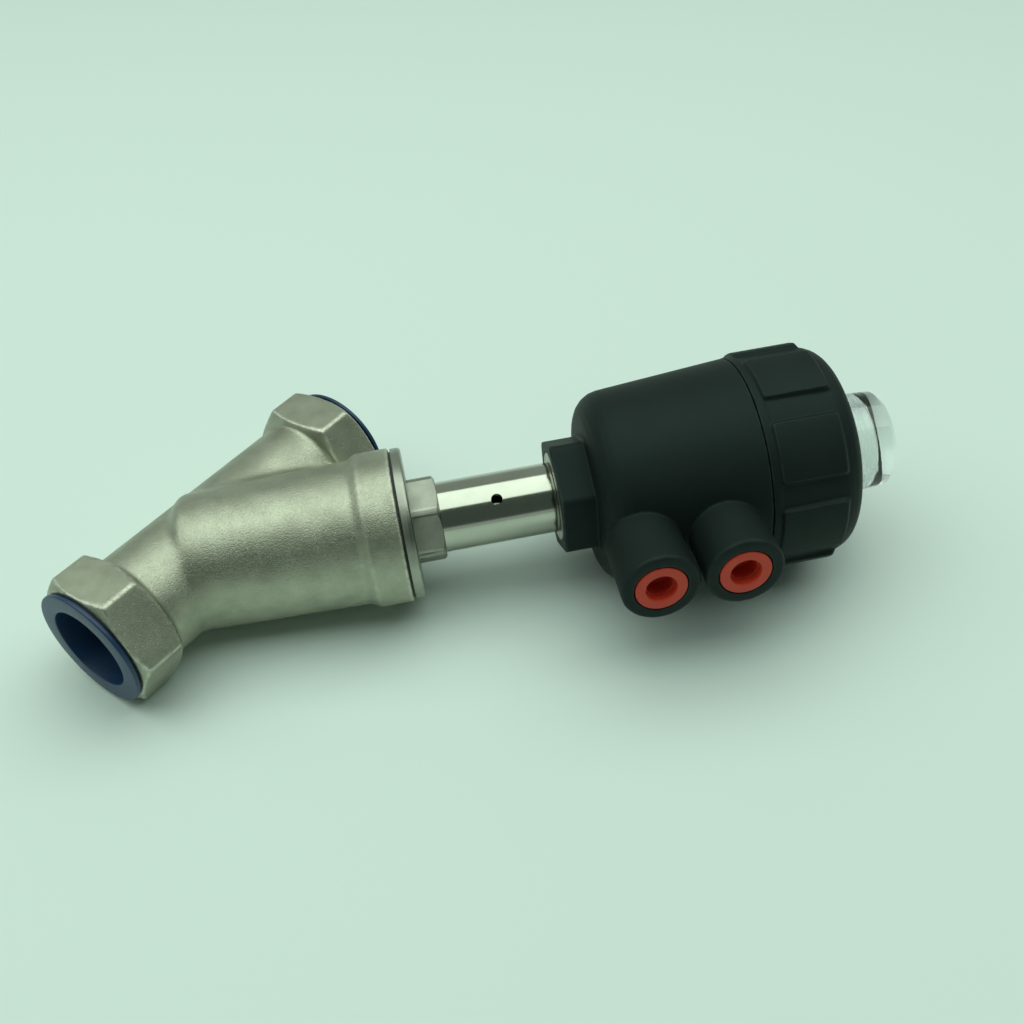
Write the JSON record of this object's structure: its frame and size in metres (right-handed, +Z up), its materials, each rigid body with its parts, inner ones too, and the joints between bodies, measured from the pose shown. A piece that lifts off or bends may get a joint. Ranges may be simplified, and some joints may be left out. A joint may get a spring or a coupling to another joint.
{
  "type": "angle seat valve",
  "caption": "Pneumatic angle seat valve with a stainless Y body, threaded ports, spring-closed piston actuator, clear position dome and transit plugs.",
  "frame": {"origin": "centre of the inlet thread's mouth, where its plain lead-in ends, on the flow axis", "axes": "+X along the flow axis from inlet to outlet, +Z up with the valve lying on its side on its port hexagons and the cap; the stem leaves the flow axis at 45 degrees towards +X and -Y"},
  "size_m": [0.2162, 0.1956, 0.0746],
  "materials": {
    "cast_stainless": "investment cast, bead blasted satin",
    "machined_stainless": "turned",
    "polished_stainless": "polished",
    "spring_steel": "drawn wire",
    "ptfe": "smooth",
    "elastomer": "matt",
    "black_polymer": "fine satin, moulded",
    "clear_polymer": "clear, moulded",
    "indicator_polymer": "gloss",
    "aluminium": "turned",
    "blue_cap": "satin, moulded",
    "orange_cap": "satin, moulded"
  },
  "bodies": {
    "valve": {"valve_body": "cast_stainless", "bonnet_gasket": "elastomer", "bonnet": "machined_stainless", "lower_guide_bush": "ptfe", "neck_tube": "polished_stainless", "packing_spring": "spring_steel", "packing_pressure_ring": "machined_stainless", "packing_rings": "ptfe", "packing_gland": "machined_stainless", "upper_guide_bush": "ptfe", "stem_wiper": "elastomer", "neck_o_ring": "elastomer", "neck_circlip": "spring_steel"},
    "actuator": {"mounting_ring": "machined_stainless", "actuator_housing": "black_polymer", "cap_o_ring": "elastomer", "actuator_cap": "black_polymer", "indicator_dome": "clear_polymer", "dome_o_ring": "elastomer", "spring_plate": "machined_stainless", "outer_spring": "spring_steel", "inner_spring": "spring_steel"},
    "trim": {"stem": "polished_stainless", "disc_holder": "machined_stainless", "seat_seal": "ptfe", "disc_washer": "machined_stainless", "disc_nut": "machined_stainless", "piston": "aluminium", "piston_seal": "elastomer", "piston_guide_ring": "ptfe", "piston_nut": "machined_stainless", "position_indicator": "indicator_polymer"},
    "inlet_cap": {"inlet_plug": "blue_cap"},
    "outlet_cap": {"outlet_plug": "blue_cap"},
    "low_air_cap": {"air_plug_low": "orange_cap"},
    "high_air_cap": {"air_plug_high": "orange_cap"}
  },
  "joints": [
    {"name": "actuator_turn", "type": "hinge", "parent": "valve", "child": "actuator", "pos_m": [0.11601, -0.08298, 0.00936], "axis": [0.7071, -0.7027, 0.0792], "continuous": true},
    {"name": "stem_lift", "type": "slide", "parent": "valve", "child": "trim", "axis": [0.7071, -0.7027, 0.0792], "range_m": [0, 0.012], "stiffness_N_per_m": 12000, "springref_m": -0.01, "deforming": ["outer_spring", "inner_spring"]},
    {"name": "inlet_cap_pull", "type": "slide", "parent": "valve", "child": "inlet_cap", "axis": [-1, 0, 0], "range_m": [0, 0.06]},
    {"name": "outlet_cap_pull", "type": "slide", "parent": "valve", "child": "outlet_cap", "axis": [1, 0, 0], "range_m": [0, 0.06]},
    {"name": "low_air_cap_pull", "type": "slide", "parent": "actuator", "child": "low_air_cap", "axis": [-0.7069, -0.6995, 0.1052], "range_m": [0, 0.06]},
    {"name": "high_air_cap_pull", "type": "slide", "parent": "actuator", "child": "high_air_cap", "axis": [-0.7069, -0.6995, 0.1052], "range_m": [0, 0.06]}
  ]
}
